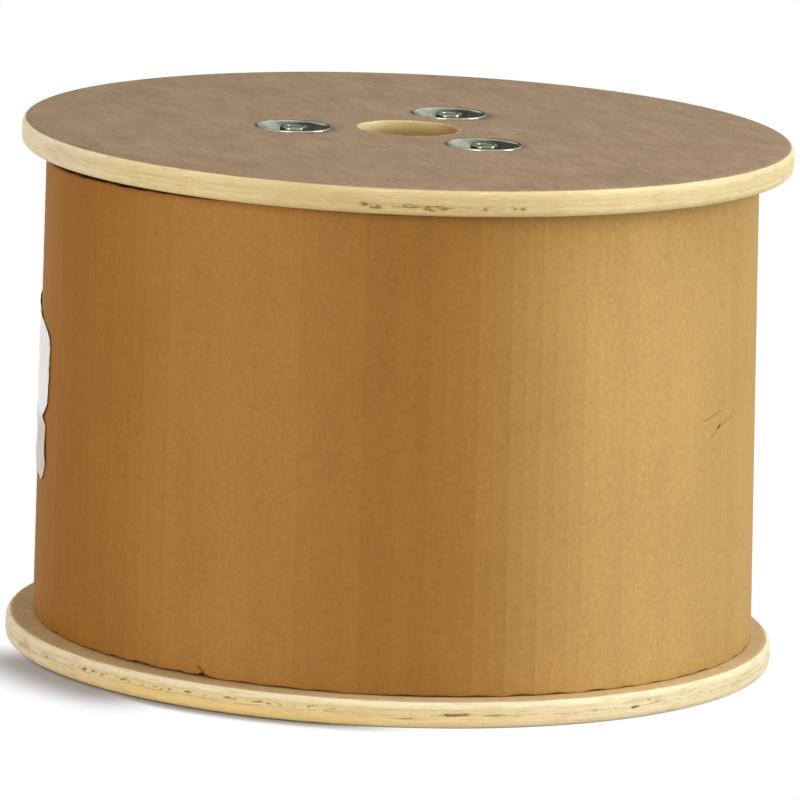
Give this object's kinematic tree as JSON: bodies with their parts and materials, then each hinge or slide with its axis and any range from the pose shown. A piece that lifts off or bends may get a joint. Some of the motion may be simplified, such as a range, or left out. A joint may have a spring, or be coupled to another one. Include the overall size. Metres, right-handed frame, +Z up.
{
  "type": "wooden cable drum",
  "caption": "Full cable drum standing on end: plywood flanges with an arbor hole, dished washers and nuts on tie rods, and a corrugated cardboard wrap over the cable.",
  "frame": {"origin": "on the floor at the centre of the lower flange's outer face", "axes": "+Z up along the drum's axis; -Y is the side that the picture was taken from; +X to its right"},
  "size_m": [0.3999, 0.4, 0.274],
  "materials": {
    "plywood": "matte",
    "paper_tube": "matte",
    "cable_jacket": "satin",
    "corrugated_board": "matte",
    "label_film": "gloss",
    "zinc_rod": "satin",
    "zinc_washer": "satin",
    "zinc_nut": "satin"
  },
  "bodies": {
    "root": {"lower_flange": "plywood", "upper_flange": "plywood", "barrel": "paper_tube", "cable_winding": "cable_jacket", "cardboard_wrap": "corrugated_board", "label_pouch": "label_film", "tie_rod_1": "zinc_rod", "cup_washer_lower_1": "zinc_washer", "nut_lower_1": "zinc_nut", "cup_washer_upper_1": "zinc_washer", "nut_upper_1": "zinc_nut", "tie_rod_2": "zinc_rod", "cup_washer_lower_2": "zinc_washer", "nut_lower_2": "zinc_nut", "cup_washer_upper_2": "zinc_washer", "nut_upper_2": "zinc_nut", "tie_rod_3": "zinc_rod", "cup_washer_lower_3": "zinc_washer", "nut_lower_3": "zinc_nut", "cup_washer_upper_3": "zinc_washer", "nut_upper_3": "zinc_nut"}
  },
  "joints": []
}
